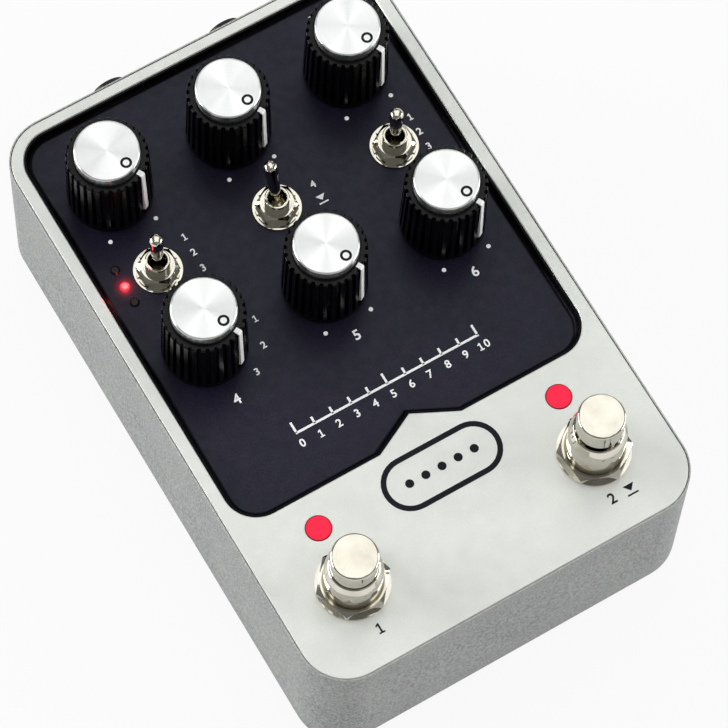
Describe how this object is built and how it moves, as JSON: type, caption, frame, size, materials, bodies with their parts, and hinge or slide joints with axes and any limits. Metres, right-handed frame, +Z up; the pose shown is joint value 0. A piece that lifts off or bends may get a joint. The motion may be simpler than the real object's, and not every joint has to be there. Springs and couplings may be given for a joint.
{
  "type": "delay pedal",
  "caption": "Desktop effects pedal in a cast case: a sunken dark face with fluted knobs and small toggles, a light front ledge with foot switches and red lamps, and sockets at the back.",
  "frame": {"origin": "centre of the overall outline, on the plane that the feet stand on", "axes": "+X right, +Y towards the sockets at the back, +Z up"},
  "size_m": [0.0928, 0.149, 0.0662],
  "materials": {
    "cast_case": "blasted, slightly grainy",
    "plate": "satin anodised",
    "face": "satin",
    "base": "satin powder coat",
    "screws": "satin",
    "rubber": "matte",
    "knob": "gloss",
    "spun_cap": "spun",
    "white_strip": "satin",
    "shaft": "satin",
    "pot_body": "satin",
    "nickel": "bright nickel",
    "red_lens": "gloss, lit from inside",
    "clear_lens": "gloss",
    "circuit_board": "solder mask",
    "black_plastic": "moulded",
    "brass": "turned",
    "usb_shell": "satin"
  },
  "bodies": {
    "pedal": {"case_shell": "cast_case", "top_plate": "plate", "face_panel": "face", "base_plate": "base", "base_screws": "screws", "rubber_feet": "rubber", "potentiometers": "pot_body", "pot_nuts": "nickel", "toggle_switch_left": "nickel", "toggle_switch_middle": "nickel", "toggle_switch_right": "nickel", "toggle_washers": "nickel", "toggle_nuts": "nickel", "footswitch_body_left": "nickel", "lamp_lens_left": "red_lens", "footswitch_body_right": "nickel", "lamp_lens_right": "red_lens", "footswitch_washers": "nickel", "footswitch_nuts": "nickel", "status_light_lit": "red_lens", "status_lights_unlit": "clear_lens", "control_board": "circuit_board", "main_board": "circuit_board", "board_header": "black_plastic", "board_standoffs": "brass", "audio_jacks": "black_plastic", "jack_nuts": "nickel", "power_socket": "black_plastic", "usb_socket": "usb_shell", "pair_switch": "black_plastic"},
    "turning_rear_left": {"knob_rear_left": "knob", "knob_cap_rear_left": "spun_cap", "knob_pointer_rear_left": "white_strip", "pot_shaft_rear_left": "shaft"},
    "turning_rear_middle": {"knob_rear_middle": "knob", "knob_cap_rear_middle": "spun_cap", "knob_pointer_rear_middle": "white_strip", "pot_shaft_rear_middle": "shaft"},
    "turning_rear_right": {"knob_rear_right": "knob", "knob_cap_rear_right": "spun_cap", "knob_pointer_rear_right": "white_strip", "pot_shaft_rear_right": "shaft"},
    "turning_front_left": {"knob_front_left": "knob", "knob_cap_front_left": "spun_cap", "knob_pointer_front_left": "white_strip", "pot_shaft_front_left": "shaft"},
    "turning_front_middle": {"knob_front_middle": "knob", "knob_cap_front_middle": "spun_cap", "knob_pointer_front_middle": "white_strip", "pot_shaft_front_middle": "shaft"},
    "turning_front_right": {"knob_front_right": "knob", "knob_cap_front_right": "spun_cap", "knob_pointer_front_right": "white_strip", "pot_shaft_front_right": "shaft"},
    "lever_left": {"toggle_lever_left": "nickel"},
    "lever_middle": {"toggle_lever_middle": "nickel"},
    "lever_right": {"toggle_lever_right": "nickel"},
    "foot_button_left": {"footswitch_button_left": "nickel"},
    "foot_button_right": {"footswitch_button_right": "nickel"},
    "pairing_button": {"pair_button": "black_plastic"}
  },
  "joints": [
    {"name": "turn_rear_left", "type": "hinge", "parent": "pedal", "child": "turning_rear_left", "pos_m": [-0.029, 0.0464, 0.0434], "axis": [0, 0, 1], "range_deg": [0, 301]},
    {"name": "turn_rear_middle", "type": "hinge", "parent": "pedal", "child": "turning_rear_middle", "pos_m": [0, 0.0464, 0.0434], "axis": [0, 0, 1], "range_deg": [0, 301]},
    {"name": "turn_rear_right", "type": "hinge", "parent": "pedal", "child": "turning_rear_right", "pos_m": [0.029, 0.0464, 0.0434], "axis": [0, 0, 1], "range_deg": [0, 301]},
    {"name": "turn_front_left", "type": "hinge", "parent": "pedal", "child": "turning_front_left", "pos_m": [-0.029, 0.0057, 0.0434], "axis": [0, 0, 1], "range_deg": [0, 301]},
    {"name": "turn_front_middle", "type": "hinge", "parent": "pedal", "child": "turning_front_middle", "pos_m": [0, 0.0057, 0.0434], "axis": [0, 0, 1], "range_deg": [0, 301]},
    {"name": "turn_front_right", "type": "hinge", "parent": "pedal", "child": "turning_front_right", "pos_m": [0.029, 0.0057, 0.0434], "axis": [0, 0, 1], "range_deg": [0, 301]},
    {"name": "flip_left", "type": "hinge", "parent": "pedal", "child": "lever_left", "pos_m": [-0.029, 0.0257, 0.0466], "axis": [1, 0, 0], "range_deg": [-13, 13]},
    {"name": "flip_middle", "type": "hinge", "parent": "pedal", "child": "lever_middle", "pos_m": [0, 0.0257, 0.0466], "axis": [1, 0, 0], "range_deg": [0, 26]},
    {"name": "flip_right", "type": "hinge", "parent": "pedal", "child": "lever_right", "pos_m": [0.029, 0.0257, 0.0466], "axis": [1, 0, 0], "range_deg": [-13, 13]},
    {"name": "press_left", "type": "slide", "parent": "pedal", "child": "foot_button_left", "axis": [0, 0, -1], "range_m": [-0.00125, 0.00125], "stiffness_N_per_m": 3000},
    {"name": "press_right", "type": "slide", "parent": "pedal", "child": "foot_button_right", "axis": [0, 0, -1], "range_m": [0, 0.0025], "stiffness_N_per_m": 3000, "springref_m": -0.002},
    {"name": "press_pair", "type": "slide", "parent": "pedal", "child": "pairing_button", "axis": [0, -1, 0], "range_m": [0, 0.0004], "stiffness_N_per_m": 2000, "springref_m": -0.0003}
  ]
}
